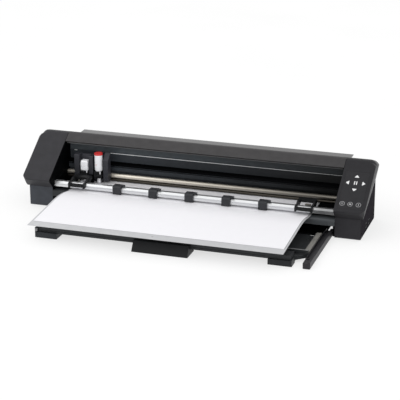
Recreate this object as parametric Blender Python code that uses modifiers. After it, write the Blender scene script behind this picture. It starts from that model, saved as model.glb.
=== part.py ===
"""Desktop vinyl cutter, 24-inch class, lid open and roll-feed drawer pulled out, with a cutting mat loaded.

Metres, +X right, -Y towards the user, +Z up. The origin is the centre of the footprint, on the table.
Depths below are measured from the nose, the lower front edge of the two slanted end caps.
"""

from math import atan2, cos, pi, radians, sin, sqrt, tan

import bmesh
import bpy
from mathutils import Matrix, Vector

GAP = 0.0003  # between neighbouring pieces

# Housing
HALF_LENGTH = 0.4305  # to the outside of the end caps
BODY_X = 0.4188  # outside of the lower end bodies
INNER_X = 0.357  # faces of the end bodies that look at each other
SPAN_X = INNER_X - GAP  # half length of what bridges the two ends
WALL = 0.003
BODY_FRONT = 0.0222
BODY_REAR = 0.183
BODY_BASE = 0.0013
NOSE_Z = 0.075
CREST_Y, CREST_Z = 0.1366, 0.1646  # top of the slanted face
REAR_TOP_Z = 0.148
PART_FRONT_Z, PART_REAR_Z = 0.052, 0.100  # parting line between end body and end cap
WIDEST_REAR_Z = 0.137  # the cap is widest along a line from the nose to this height below the crest
NOSE_CORNER_R = 0.017  # rounding of the slanted face's lower outer corner
SLOPE = atan2(CREST_Z - NOSE_Z, CREST_Y)
FOOT_HEIGHT = 0.001

# Lid: a flat panel that swings about an axis below the machine, from flush with the slanted faces to level
LID_HALF_X = 0.3535
LID_THICK = 0.002
LID_OPEN_Z = 0.143
LID_AXIS_Y = 0.164
LID_FRONT, LID_REAR = 0.0515, 0.0655  # how far the panel reaches each way from its axis, when open
LID_AXIS_Z = (LID_OPEN_Z - sin(SLOPE) * LID_AXIS_Y - cos(SLOPE) * NOSE_Z) / (1 - cos(SLOPE))

# Media path
PLATEN_Z = 0.0455
MAT_THICK, SHEET_THICK = 0.001, 0.0004
MAT_Z = PLATEN_Z + GAP  # underside of the mat
SHEET_Z = MAT_Z + MAT_THICK + GAP
SHEET_TOP = SHEET_Z + SHEET_THICK
MAT_LEFT, MAT_RIGHT = -0.3175, 0.2965
MAT_FRONT, MAT_REAR = -0.217, 0.200
SHEET_LEFT, SHEET_RIGHT = -0.3125, 0.2915
SHEET_FRONT, SHEET_REAR = -0.1925, 0.180
ARCH_START = 0.027  # in front of this the mat is free, and its curl lifts it a little
ARCH_EASE = 0.012
ARCH_RISE = 0.26
ARCH_RADIUS = 0.270
ARCH_FALL = 0.070

# Drive and pinch rollers
ROLLER_Y = 0.057
DRIVE_R = 0.008
DRIVE_Z = PLATEN_Z - DRIVE_R
SHAFT_R = 0.004
PINCH_R = 0.0065
PINCH_Z = SHEET_TOP + GAP + PINCH_R
AXLE_R = 0.0015
BAR_FRONT, BAR_REAR, BAR_LOW, BAR_TOP = 0.033, 0.047, 0.0525, 0.065
CLIP_X = (-0.190, -0.097, -0.0045, 0.0885, 0.1795)
CLIP_WIDTH = 0.021
LEVER_WIDTH = 0.0068
LEVER_Y, LEVER_Z = 0.0405, 0.0688
CARRIER_X = {"left": -0.295, "right": 0.280}
CARRIER_WIDTH = 0.043

# Gears between the feed motor and the drive roller
GEAR_MODULE = 0.001
GEAR_TEETH, PINION_TEETH = 28, 14
GEAR_X0, GEAR_X1 = 0.363, 0.370
PINION_Y = ROLLER_Y + GEAR_MODULE * (GEAR_TEETH + PINION_TEETH) / 2

# Carriage and what it runs on
ROD_Y = 0.124
ROD_R, ROD_Z = 0.0058, 0.0632
LOW_ROD_R, LOW_ROD_Z = 0.0036, 0.0526
PULLEY_X, PULLEY_Y, PULLEY_R = 0.385, 0.136, 0.0065
BELT_Z0, BELT_Z1, BELT_THICK = 0.0875, 0.0925, 0.0012
BELT_R = PULLEY_R + GAP
CARRIAGE_FACE, CARRIAGE_BACK = 0.096, 0.1155
CARRIAGE_LEFT, CARRIAGE_RIGHT = -0.328, -0.238
TOOL_Y = 0.101
TOOL_1_X, TOOL_2_X = -0.3006, -0.2645

# Roll-feed drawer, pulled out
DRAWER_FRONT, DRAWER_REAR = -0.178, 0.002
DRAWER_LEFT, DRAWER_RIGHT = -0.3098, 0.3045
TRAY_RIGHT = 0.3327
TRAY_FLOOR_Z, TRAY_FLOOR_TOP = 0.007, 0.0095
BAR_UNDER_Z, BAR_OVER_Z = 0.0128, 0.025
SHOE_BASE = 0.0004
HANDLE_FRONT = -0.203
RUNNER_X0 = 0.3205  # left edge of the steel runner, which lies on the tray beside the outer rail

# The footprint runs from the mat's front edge to the open lid's rear edge
NOSE_Y = -(MAT_FRONT + LID_AXIS_Y + LID_REAR) / 2


def clear_scene():
    for obj in list(bpy.data.objects):
        bpy.data.objects.remove(obj)


def collection(name):
    made = bpy.data.collections.new(name)
    bpy.context.scene.collection.children.link(made)
    return made


clear_scene()
PARTS = collection("vinyl_cutter")
CUTTERS = collection("cutters")


def material(name, colour, roughness, metallic=0.0):
    made = bpy.data.materials.new(name)
    made.use_nodes = True
    shader = made.node_tree.nodes["Principled BSDF"]
    shader.inputs["Base Color"].default_value = (*colour, 1)
    shader.inputs["Roughness"].default_value = roughness
    shader.inputs["Metallic"].default_value = metallic
    return made


CHARCOAL = material("cap_plastic", (0.050, 0.048, 0.055), 0.5)
BODY_GREY = material("body_plastic", (0.036, 0.036, 0.042), 0.5)
PANEL_BLACK = material("panel_gloss", (0.030, 0.030, 0.034), 0.3)
COVER_BROWN = material("cover_plastic", (0.090, 0.084, 0.082), 0.5)
LID_GREY = material("lid_gloss", (0.10, 0.10, 0.11), 0.15)
BLACK = material("black_plastic", (0.018, 0.018, 0.021), 0.45)
STEEL = material("steel", (0.62, 0.60, 0.57), 0.25, 1.0)
ALUMINIUM = material("aluminium", (0.80, 0.81, 0.83), 0.3, 1.0)
DARK_METAL = material("dark_metal", (0.03, 0.036, 0.045), 0.5, 0.4)
RUBBER = material("rubber", (0.02, 0.02, 0.02), 0.85)
WHITE = material("white_plastic", (0.85, 0.85, 0.87), 0.4)
RED = material("red_plastic", (0.68, 0.035, 0.03), 0.4)
MAT_GREY = material("mat_plastic", (0.62, 0.66, 0.68), 0.4)
VINYL = material("white_vinyl", (0.9, 0.9, 0.93), 0.5)
BOARD_GREEN = material("circuit_board", (0.02, 0.12, 0.05), 0.5)


# Placing: every piece hangs on an empty, the machine's own or the one on its joint's axis


def empty(name, at, parent=None):
    made = bpy.data.objects.new(name, None)
    made.empty_display_size = 0.02
    PARTS.objects.link(made)
    made["nose_frame"] = list(at)
    made.parent = parent
    made.location = Vector(at) - (Vector(parent["nose_frame"]) if parent else Vector((0, -NOSE_Y, 0)))
    return made


MACHINE = empty("machine", (0, 0, 0))


def place(name, mesh, at, paint, parent, rotation=(0, 0, 0)):
    """An object whose origin is at the point `at`, measured from the nose."""
    made = bpy.data.objects.new(name, mesh)
    (PARTS if paint else CUTTERS).objects.link(made)
    made.parent = parent or MACHINE
    made.location = Vector(at) - Vector(made.parent["nose_frame"])
    made.rotation_euler = rotation
    if paint:
        mesh.materials.append(paint)
    else:
        made.hide_render = True
        made.display_type = "WIRE"
    return made


def mesh_of(name, bm):
    mesh = bpy.data.meshes.new(name)
    bm.to_mesh(mesh)
    bm.free()
    return mesh


def soften(obj, width, segments=2, limit=radians(35)):
    bevel = obj.modifiers.new("soft_edges", "BEVEL")
    bevel.width = width
    bevel.segments = segments
    bevel.angle_limit = limit
    return obj


def box(name, low, high, paint=None, parent=None, bevel=0.0, segments=2):
    low, high = Vector(low), Vector(high)
    bm = bmesh.new()
    bmesh.ops.create_cube(bm, size=1, matrix=Matrix.Diagonal((*(high - low), 1)))
    made = place(name, mesh_of(name, bm), (low + high) / 2, paint, parent)
    return soften(made, bevel, segments) if bevel else made


def turned(name, profile, at, along, paint=None, parent=None, steps=24):
    """A turned piece: profile lists (distance along the axis, radius) from the far end back to the near end."""
    bm = bmesh.new()
    points = [(profile[0][0], 0), *profile, (profile[-1][0], 0)]
    corners = [bm.verts.new((radius, 0, distance)) for distance, radius in points]
    for first, second in zip(corners, corners[1:]):
        bm.edges.new((first, second))
    lie = (0, radians(90), 0) if along == "X" else (0, 0, 0)
    made = place(name, mesh_of(name, bm), at, paint, parent, lie)
    screw = made.modifiers.new("turn", "SCREW")
    screw.steps = screw.render_steps = steps
    screw.use_merge_vertices = True
    screw.merge_threshold = 0.00001
    screw.use_smooth_shade = True
    return made


def filleted(corners, closed=True, steps=4):
    """Corner points, each (a, b) or (a, b, radius), with an arc in place of each corner that has a radius."""
    points = []
    count = len(corners)
    for i, corner in enumerate(corners):
        here = Vector(corner[:2])
        if len(corner) == 2 or (not closed and i in (0, count - 1)):
            points.append(here)
            continue
        back = (Vector(corners[i - 1][:2]) - here).normalized()
        ahead = (Vector(corners[(i + 1) % count][:2]) - here).normalized()
        half = back.angle(ahead) / 2
        centre = here + (back + ahead).normalized() * corner[2] / sin(half)
        start = here + back * corner[2] / tan(half) - centre
        end = here + ahead * corner[2] / tan(half) - centre
        turn = pi - 2 * half
        for k in range(steps + 1):
            part = k / steps
            points.append(centre + (start * sin((1 - part) * turn) + end * sin(part * turn)) / sin(turn))
    return points


def prism(name, outlines, near, far, paint=None, parent=None, along="X"):
    """Flat outlines, the first one outside and any others holes, drawn out along X (as y, z) or Z (as x, y)."""
    curve = bpy.data.curves.new(name, "CURVE")
    curve.dimensions = "2D"
    curve.fill_mode = "BOTH"
    curve.extrude = (far - near) / 2
    for outline in outlines:
        spline = curve.splines.new("POLY")
        spline.points.add(len(outline) - 1)
        for point, (a, b) in zip(spline.points, outline):
            point.co = (a, b, 0, 1)
        spline.use_cyclic_u = True
    drawn = bpy.data.objects.new(name + "_outline", curve)
    CUTTERS.objects.link(drawn)
    bpy.context.view_layer.update()
    mesh = bpy.data.meshes.new_from_object(drawn.evaluated_get(bpy.context.evaluated_depsgraph_get()))
    bpy.data.objects.remove(drawn)
    bpy.data.curves.remove(curve)
    bm = bmesh.new()
    bm.from_mesh(mesh)
    bmesh.ops.remove_doubles(bm, verts=bm.verts, dist=0.000001)
    bmesh.ops.recalc_face_normals(bm, faces=bm.faces)
    bm.to_mesh(mesh)
    bm.free()
    middle = (near + far) / 2
    if along == "X":
        return place(name, mesh, (middle, 0, 0), paint, parent, (radians(90), 0, radians(90)))
    return place(name, mesh, (0, 0, middle), paint, parent)


def prism_on(name, outlines, near, far, paint, parent, along="X"):
    """A prism whose origin is moved onto its parent empty, which lies on a joint's axis."""
    made = prism(name, outlines, near, far, paint, parent, along)
    bpy.context.view_layer.update()
    made.data.transform(made.matrix_basis)
    made.location = (0, 0, 0)
    made.rotation_euler = (0, 0, 0)
    return made


def boolean(obj, other, operation):
    other.hide_render = True
    other.display_type = "WIRE"
    for home in list(other.users_collection):
        home.objects.unlink(other)
    CUTTERS.objects.link(other)
    step = obj.modifiers.new(operation.lower() + "_" + other.name, "BOOLEAN")
    step.operation = operation
    step.object = other
    return obj


def cut(obj, *cutters):
    for cutter in cutters:
        boolean(obj, cutter, "DIFFERENCE")
    return obj


def join(obj, *pieces):
    for piece in pieces:
        boolean(obj, piece, "UNION")
    return obj


def circle(centre, radius, steps=20):
    return [
        (centre[0] + radius * cos(2 * pi * k / steps), centre[1] + radius * sin(2 * pi * k / steps))
        for k in range(steps)
    ]


def parting_z(y):
    share = (y - BODY_FRONT) / (BODY_REAR - BODY_FRONT)
    return PART_FRONT_Z + (PART_REAR_Z - PART_FRONT_Z) * share


# End housings


def ends(side, inner, outer):
    return sorted((side * inner, side * outer))


def end_body(name, side):
    outline = filleted(
        [
            (BODY_FRONT, BODY_BASE, 0.003),
            (BODY_FRONT, PART_FRONT_Z - GAP),
            (BODY_REAR, PART_REAR_Z - GAP),
            (BODY_REAR, BODY_BASE, 0.003),
        ]
    )
    body = prism(name, [outline], *ends(side, INNER_X, BODY_X), BODY_GREY)
    soften(body, 0.0045, 3, radians(50))
    hollow = [
        (BODY_FRONT + WALL, BODY_BASE + WALL),
        (BODY_FRONT + WALL, 0.12),
        (BODY_REAR - WALL, 0.12),
        (BODY_REAR - WALL, BODY_BASE + WALL),
    ]
    inside = prism(name + "_inside", [hollow], *ends(side, INNER_X + WALL, BODY_X - WALL))
    shaft_hole = turned(
        name + "_shaft_hole",
        [(0.01, SHAFT_R + 0.0006), (-0.01, SHAFT_R + 0.0006)],
        (side * INNER_X, ROLLER_Y, DRIVE_Z),
        "X",
    )
    return cut(body, inside, shaft_hole, belt_window(name, side))


def belt_window(name, side):
    reach = BELT_R + BELT_THICK + 0.0015
    low_x, high_x = ends(side, INNER_X - 0.005, INNER_X + 2 * WALL)
    return box(
        name + "_belt_window",
        (low_x, PULLEY_Y - reach, BELT_Z0 - 0.0015),
        (high_x, PULLEY_Y + reach, BELT_Z1 + 0.0015),
    )


def side_cutter(name, side):
    """A block whose inner face runs from the cap's widest line down and in to the body's upper rear corner."""
    nose = Vector((side * HALF_LENGTH, 0, NOSE_Z))
    widest = Vector((side * HALF_LENGTH, CREST_Y, WIDEST_REAR_Z))
    foot = Vector((side * BODY_X, BODY_REAR, PART_REAR_Z))
    along = (widest - nose).normalized()
    outwards = along.cross(foot - nose).normalized()
    if outwards.x * side < 0:
        outwards.negate()
    upwards = outwards.cross(along)
    size = Vector((0.5, 0.5, 0.05))
    bm = bmesh.new()
    bmesh.ops.create_cube(bm, size=1, matrix=Matrix.Diagonal((*size, 1)))
    turn = Matrix((along, upwards, outwards)).transposed().to_4x4()
    bmesh.ops.transform(bm, verts=bm.verts, matrix=turn)
    bmesh.ops.recalc_face_normals(bm, faces=bm.faces)
    return place(name, mesh_of(name, bm), nose + outwards * size.z / 2, None, None)


def nose_corner_cutter(name, side):
    """What lies outside the round lower outer corner of the slanted face, cut square to that face."""
    radius, over = NOSE_CORNER_R, 0.004
    outline = [(side * (HALF_LENGTH + over), -over), (side * (HALF_LENGTH + over), radius)]
    for k in range(11):
        angle = pi / 2 * k / 10
        out = HALF_LENGTH - radius + radius * cos(angle)
        outline.append((side * out, radius - radius * sin(angle)))
    outline.append((side * (HALF_LENGTH - radius), -over))
    corner = prism(name, [outline], -0.06, 0.03, along="Z")
    corner.location = Vector((0, 0, NOSE_Z)) - Vector(MACHINE["nose_frame"])
    corner.rotation_euler = (SLOPE, 0, 0)
    return corner


def outer_rounding(point):
    """Radius of the cap's outer edge: large round the crest and the rear, small along the slanted face."""
    if point.x < 0.118:
        return 0.0025
    if point.x < 0.126:
        return 0.007
    return 0.0172 if point.y > 0.110 else 0.005


def rounded_prism(name, outline, side, inner, outer, paint):
    """A prism along X whose outer edge is rounded, at each point of the outline by its own radius."""
    count = len(outline)
    inward = []
    for i, point in enumerate(outline):
        run = (outline[(i + 1) % count] - outline[i - 1]).normalized()
        inward.append(Vector((run.y, -run.x)))
    middle = sum(outline, Vector((0, 0))) / count
    if sum((middle - point).dot(turn) for point, turn in zip(outline, inward)) < 0:
        inward = [-turn for turn in inward]
    bm = bmesh.new()
    rings = [[bm.verts.new((side * inner, *point)) for point in outline]]
    for k in range(6):
        angle = pi / 2 * k / 5
        ring = []
        for point, turn in zip(outline, inward):
            radius = outer_rounding(point)
            x = outer - radius * (1 - sin(angle))
            ring.append(bm.verts.new((side * x, *(point + turn * radius * (1 - cos(angle))))))
        rings.append(ring)
    for near, far in zip(rings, rings[1:]):
        for i in range(count):
            bm.faces.new((near[i], near[(i + 1) % count], far[(i + 1) % count], far[i]))
    bm.faces.new(rings[0])
    bm.faces.new(rings[-1])
    bmesh.ops.recalc_face_normals(bm, faces=bm.faces)
    return place(name, mesh_of(name, bm), (0, 0, 0), paint, None)


def end_cap(name, side):
    outline = filleted(
        [
            (BODY_FRONT, PART_FRONT_Z),
            (0.0, NOSE_Z, 0.0035),
            on_slope(0.138),
            on_slope(0.147),
            (CREST_Y, CREST_Z, 0.018),
            (BODY_REAR, REAR_TOP_Z, 0.018),
            (BODY_REAR, PART_REAR_Z),
        ]
    )
    cap = rounded_prism(name, outline, side, INNER_X, HALF_LENGTH, CHARCOAL)
    hollow = [
        (BODY_FRONT + WALL, 0.03),
        (BODY_FRONT + WALL, PART_FRONT_Z + 0.0045),
        (0.0055, NOSE_Z - 0.0005),
        (CREST_Y + 0.001, CREST_Z - 0.004),
        (BODY_REAR - 0.009, REAR_TOP_Z - 0.003),
        (BODY_REAR - 0.0035, REAR_TOP_Z - 0.013),
        (BODY_REAR - WALL, 0.03),
    ]
    inside = prism(name + "_inside", [hollow], *ends(side, INNER_X + WALL, BODY_X - WALL - 0.0045))
    return cut(
        cap,
        inside,
        side_cutter(name + "_side", side),
        nose_corner_cutter(name + "_corner", side),
        belt_window(name, side),
    )


def on_slope(distance, lift=0.0):
    """(y, z) of the point this far up the slanted face, lifted off it."""
    return (
        distance * cos(SLOPE) - lift * sin(SLOPE),
        NOSE_Z + distance * sin(SLOPE) + lift * cos(SLOPE),
    )


PANEL_LOW, PANEL_HIGH = 0.012, 0.122
PANEL_X0, PANEL_X1 = 0.364, 0.4215
PANEL_THICK = 0.001


def slope_plate(name, x0, x1, low, high, bottom, top, paint=None):
    outline = [on_slope(low, bottom), on_slope(high, bottom), on_slope(high, top), on_slope(low, top)]
    return prism(name, [outline], x0, x1, paint)


def end_housings():
    end_body("left_end_body", -1)
    end_body_right = end_body("right_end_body", 1)
    end_cap("left_end_cap", -1)
    right_cap = end_cap("right_end_cap", 1)
    recess = slope_plate(
        "panel_recess",
        PANEL_X0 - GAP,
        PANEL_X1 + GAP,
        PANEL_LOW - GAP,
        PANEL_HIGH + GAP,
        -PANEL_THICK - GAP,
        0.01,
    )
    cut(right_cap, recess)
    slope_plate("touch_panel", PANEL_X0, PANEL_X1, PANEL_LOW, PANEL_HIGH, -PANEL_THICK, 0.0, PANEL_BLACK)
    sockets(end_body_right)
    for name, side in (("left", -1), ("right", 1)):
        low_x, high_x = ends(side, 0.370, 0.406)
        box(
            f"rubber_foot_{name}",
            (low_x, 0.040, 0),
            (high_x, 0.166, FOOT_HEIGHT),
            RUBBER,
            bevel=0.0006,
            segments=1,
        )


def sockets(body):
    """The power inlet and the data port, set in windows low in the right side."""
    for name, y, z, half_y, half_z, mouth_y, mouth_z in (
        ("power_inlet", 0.089, 0.0165, 0.006, 0.0065, 0.0038, 0.0038),
        ("data_port", 0.122, 0.0145, 0.007, 0.006, 0.0043, 0.0039),
    ):
        window = box(
            name + "_window",
            (0.410, y - half_y - GAP, z - half_z - GAP),
            (0.430, y + half_y + GAP, z + half_z + GAP),
        )
        cut(body, window)
        block = box(
            name,
            (0.4045, y - half_y, z - half_z),
            (0.4185, y + half_y, z + half_z),
            BLACK,
        )
        mouth = box(name + "_mouth", (0.4080, y - mouth_y, z - mouth_z), (0.4300, y + mouth_y, z + mouth_z))
        cut(block, mouth)


# Covers and frame between the ends


def strip_outline(corners, thick):
    """A bent sheet: the given outer path and the same path moved in by its thickness."""
    outer = filleted(corners, closed=False)
    inner = []
    for i, point in enumerate(outer):
        back = outer[max(i - 1, 0)]
        ahead = outer[min(i + 1, len(outer) - 1)]
        run = (ahead - back).normalized()
        inner.append(point + Vector((run.y, -run.x)) * thick)
    return outer + inner[::-1]


def middle_covers():
    cover_front = 0.1092
    cover_rear = 0.165
    rear_slope = (REAR_TOP_Z - CREST_Z) / (BODY_REAR - CREST_Y)
    bent = strip_outline(
        [
            (cover_front, NOSE_Z + cover_front * tan(SLOPE)),
            (CREST_Y, CREST_Z, 0.014),
            (cover_rear, CREST_Z + rear_slope * (cover_rear - CREST_Y)),
        ],
        0.0018,
    )
    prism("top_cover", [bent], -SPAN_X, SPAN_X, COVER_BROWN)
    box("rear_cover", (-SPAN_X, 0.1803, 0.051), (SPAN_X, 0.183, 0.137), BODY_GREY, bevel=0.0008)
    pan = [
        (BODY_FRONT, BODY_BASE),
        (BODY_REAR, BODY_BASE),
        (BODY_REAR, 0.0417),
        (0.1803, 0.0417),
        (0.1803, 0.0048),
        (BODY_FRONT, 0.0048),
    ]
    prism("base_pan", [pan], -SPAN_X, 0.3322, BODY_GREY)


def platen():
    lip_front, lip_low = 0.020, 0.030
    section = filleted(
        [
            (lip_front, lip_low, 0.001),
            (lip_front, PLATEN_Z, 0.005),
            (BODY_REAR, PLATEN_Z),
            (BODY_REAR, 0.042),
            (lip_front + 0.004, 0.042),
            (lip_front + 0.004, lip_low),
        ]
    )
    bed = prism("platen", [section], -SPAN_X, SPAN_X, BLACK)
    slot = box(
        "roller_slot",
        (-0.345, ROLLER_Y - 0.0095, 0.03),
        (0.345, ROLLER_Y + 0.0095, 0.06),
    )
    cut(bed, slot)


def guide_beam():
    """The extruded beam that carries the rods, with the belt's channel across it."""
    face, back = 0.141, 0.156
    section = [
        (face, 0.133),
        (face, 0.1182),
        (face - 0.002, 0.1182),
        (face - 0.002, 0.1166),
        (face, 0.1166),
        (face, 0.094),
        (0.150, 0.094),
        (0.150, 0.086),
        (0.128, 0.086),
        (0.128, 0.074),
        (0.134, 0.074),
        (0.134, 0.0505),
        (back, 0.0505),
        (back, 0.133),
    ]
    upper_bore = [(0.144, 0.097), (0.153, 0.097), (0.153, 0.130), (0.144, 0.130)]
    lower_bore = [(0.137, 0.0535), (0.153, 0.0535), (0.153, 0.083), (0.137, 0.083)]
    prism("guide_beam", [section, upper_bore, lower_bore], -SPAN_X, SPAN_X, DARK_METAL)
    for name, radius, z in (("guide_rod", ROD_R, ROD_Z), ("lower_guide_rod", LOW_ROD_R, LOW_ROD_Z)):
        turned(name, [(SPAN_X, radius), (-SPAN_X, radius)], (0, ROD_Y, z), "X", STEEL)


def pinch_bar():
    section = [
        (BAR_FRONT, BAR_LOW),
        (BAR_FRONT, 0.0575),
        (BAR_FRONT + 0.001, 0.0582),
        (BAR_FRONT, 0.0589),
        (BAR_FRONT, 0.0610),
        (0.0375, BAR_TOP),
        (BAR_REAR, BAR_TOP),
        (BAR_REAR, BAR_LOW),
    ]
    bore = [(0.036, 0.0555), (0.044, 0.0555), (0.044, 0.062), (0.039, 0.062)]
    prism("pinch_bar", [section, bore], -SPAN_X, SPAN_X, ALUMINIUM)


# Drive


def gear_outline(centre, teeth, turn):
    """Straight-sided teeth, cut back a little so that the pair runs free."""
    pitch = GEAR_MODULE * teeth / 2
    root, tip = pitch - 0.9 * GEAR_MODULE, pitch + 0.65 * GEAR_MODULE
    step = 2 * pi / teeth
    outline = []
    for tooth in range(teeth):
        for share, radius in ((-0.28, root), (-0.11, tip), (0.11, tip), (0.28, root)):
            angle = (tooth + share) * step + turn
            outline.append((centre[0] + radius * cos(angle), centre[1] + radius * sin(angle)))
    return outline


def feed_drive():
    roller = empty("feed_roller_axis", (0, ROLLER_Y, DRIVE_Z), MACHINE)
    profile = [
        (0.3715, SHAFT_R),
        (0.343, SHAFT_R),
        (0.343, DRIVE_R),
        (-0.343, DRIVE_R),
        (-0.343, SHAFT_R),
        (-0.366, SHAFT_R),
    ]
    turned("drive_roller", profile, (0, ROLLER_Y, DRIVE_Z), "X", STEEL, roller)
    bore = circle((ROLLER_Y, DRIVE_Z), SHAFT_R + GAP)
    outer = gear_outline((ROLLER_Y, DRIVE_Z), GEAR_TEETH, 0)
    prism_on("feed_gear", [outer, bore], GEAR_X0, GEAR_X1, WHITE, roller)
    pinion = empty("pinion_axis", (0, PINION_Y, DRIVE_Z), MACHINE)
    teeth = gear_outline((PINION_Y, DRIVE_Z), PINION_TEETH, pi + pi / PINION_TEETH)
    prism_on("feed_pinion", [teeth], GEAR_X0, GEAR_X1, ALUMINIUM, pinion)
    turned(
        "feed_motor",
        [(0.0165, 0.014), (-0.0165, 0.014)],
        (0.3875, PINION_Y, DRIVE_Z),
        "X",
        STEEL,
    )


def belt_drive():
    for name, side in (("belt_pulley_left", -1), ("belt_pulley_right", 1)):
        axis = empty(name + "_axis", (side * PULLEY_X, PULLEY_Y, 0), MACHINE)
        flange = PULLEY_R + 0.0022
        middle = (BELT_Z0 + BELT_Z1) / 2
        half = (BELT_Z1 - BELT_Z0) / 2
        profile = [
            (half + 0.0014, flange),
            (half + 0.0004, flange),
            (half + 0.0004, PULLEY_R),
            (-half - 0.0004, PULLEY_R),
            (-half - 0.0004, flange),
            (-half - 0.0014, flange),
        ]
        turned(name, profile, (side * PULLEY_X, PULLEY_Y, middle), "Z", WHITE, axis)
    turned(
        "carriage_motor",
        [(0.0175, 0.015), (-0.0175, 0.015)],
        (-PULLEY_X, PULLEY_Y, BELT_Z0 - 0.0215),
        "Z",
        STEEL,
    )
    prism(
        "carriage_belt",
        [racetrack(BELT_R + BELT_THICK), racetrack(BELT_R)],
        BELT_Z0,
        BELT_Z1,
        RUBBER,
        along="Z",
    )


def racetrack(radius, steps=12):
    """A loop round the two pulleys."""
    points = []
    for side in (1, -1):
        for k in range(steps + 1):
            angle = -pi / 2 + pi * k / steps + (0 if side > 0 else pi)
            points.append((side * PULLEY_X + radius * cos(angle), PULLEY_Y + radius * sin(angle)))
    return points


# Pinch rollers and what holds them


def bar_hole(name, x0, x1):
    return box(
        name,
        (x0 - 0.002, BAR_FRONT - GAP, BAR_LOW - GAP),
        (x1 + 0.002, BAR_REAR + GAP, BAR_TOP + GAP),
    )


def axle_hole(name, x, half):
    return turned(
        name,
        [(half + 0.002, AXLE_R + GAP), (-half - 0.002, AXLE_R + GAP)],
        (x, ROLLER_Y, PINCH_Z),
        "X",
        steps=16,
    )


def pinch_roller(name, x, width, axle, holder):
    axis = empty(name + "_axis", (x, ROLLER_Y, PINCH_Z), holder)
    half, reach = width / 2, axle / 2
    profile = [
        (reach, AXLE_R),
        (half, AXLE_R),
        (half, PINCH_R),
        (-half, PINCH_R),
        (-half, AXLE_R),
        (-reach, AXLE_R),
    ]
    return turned(name, profile, (x, ROLLER_Y, PINCH_Z), "X", RUBBER, axis, steps=20)


def roller_clip(number, x):
    """A clip fixed on the bar, with a roller in its rear pocket and a release lever on its right."""
    name = f"roller_clip_{number}"
    half = CLIP_WIDTH / 2
    side = filleted(
        [
            (0.028, 0.0486, 0.0015),
            (0.028, 0.0692, 0.0045),
            (0.0505, 0.0692, 0.003),
            (0.0530, 0.0606),
            (0.064, 0.0600, 0.003),
            (0.064, 0.0486, 0.0015),
        ]
    )
    clip = prism(name, [side], x - half, x + half, BLACK)
    pocket = box(name + "_pocket", (x - half + 0.0028, 0.0492, 0.040), (x + half - 0.0028, 0.070, 0.0625))
    cut(clip, bar_hole(name + "_bar", x - half, x + half), pocket, axle_hole(name + "_axle", x, half))
    pinch_roller(f"pinch_roller_{number}", x, 0.0146, CLIP_WIDTH - 0.001, MACHINE)

    near = x + half + 0.0004
    axis = empty(f"clip_lever_{number}_axis", (near, LEVER_Y, LEVER_Z), MACHINE)
    outline = filleted(
        [
            (LEVER_Y + 0.0026, LEVER_Z - 0.0026, 0.0022),
            (LEVER_Y + 0.0026, LEVER_Z + 0.0022, 0.0018),
            (LEVER_Y - 0.0062, LEVER_Z + 0.0034, 0.0010),
            (LEVER_Y - 0.0068, LEVER_Z + 0.0008, 0.0008),
            (LEVER_Y - 0.0026, LEVER_Z - 0.0026, 0.0022),
        ],
        steps=3,
    )
    prism_on(f"clip_lever_{number}", [outline], near, near + LEVER_WIDTH, BLACK, axis)


def roller_carrier(side):
    """An open frame that slides along the bar, with a wider roller."""
    x = CARRIER_X[side]
    name = f"roller_carrier_{side}"
    half = CARRIER_WIDTH / 2
    cheek = 0.0045
    holder = empty(name + "_slide", (x, 0.040, 0.060), MACHINE)
    outline = filleted(
        [
            (0.0240, 0.0555, 0.001),
            (0.0240, 0.0668, 0.002),
            (0.0400, 0.0690, 0.003),
            (0.0520, 0.0735, 0.002),
            (0.0790, 0.0735, 0.003),
            (0.0790, 0.0650, 0.001),
            (0.0635, 0.0600),
            (0.0635, 0.0492, 0.001),
            (0.0480, 0.0492, 0.001),
            (0.0480, 0.0555),
        ],
        steps=3,
    )
    frame = prism_on(name, [outline], x - half, x - half + cheek, BLACK, holder)
    other = prism_on(name + "_cheek", [outline], x + half - cheek, x + half, None, holder)
    front = box(
        name + "_front",
        (x - half + 0.001, 0.0246, 0.0580),
        (x + half - 0.001, 0.0318, 0.0654),
        parent=holder,
    )
    bridge = box(
        name + "_bridge",
        (x - half + 0.001, 0.0620, 0.0668),
        (x + half - 0.001, 0.0785, 0.0728),
        parent=holder,
    )
    window = box(
        name + "_window",
        (x - half + 0.0085, 0.0200, 0.0612),
        (x + half - 0.0085, 0.0400, 0.0634),
        parent=holder,
    )
    join(frame, other, front, bridge)
    cut(frame, window, bar_hole(name + "_bar", x - half, x + half), axle_hole(name + "_axle", x, half))
    pinch_roller(f"pinch_roller_{side}", x, 0.026, CARRIER_WIDTH - 0.001, holder)


# Carriage and its tools


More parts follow.
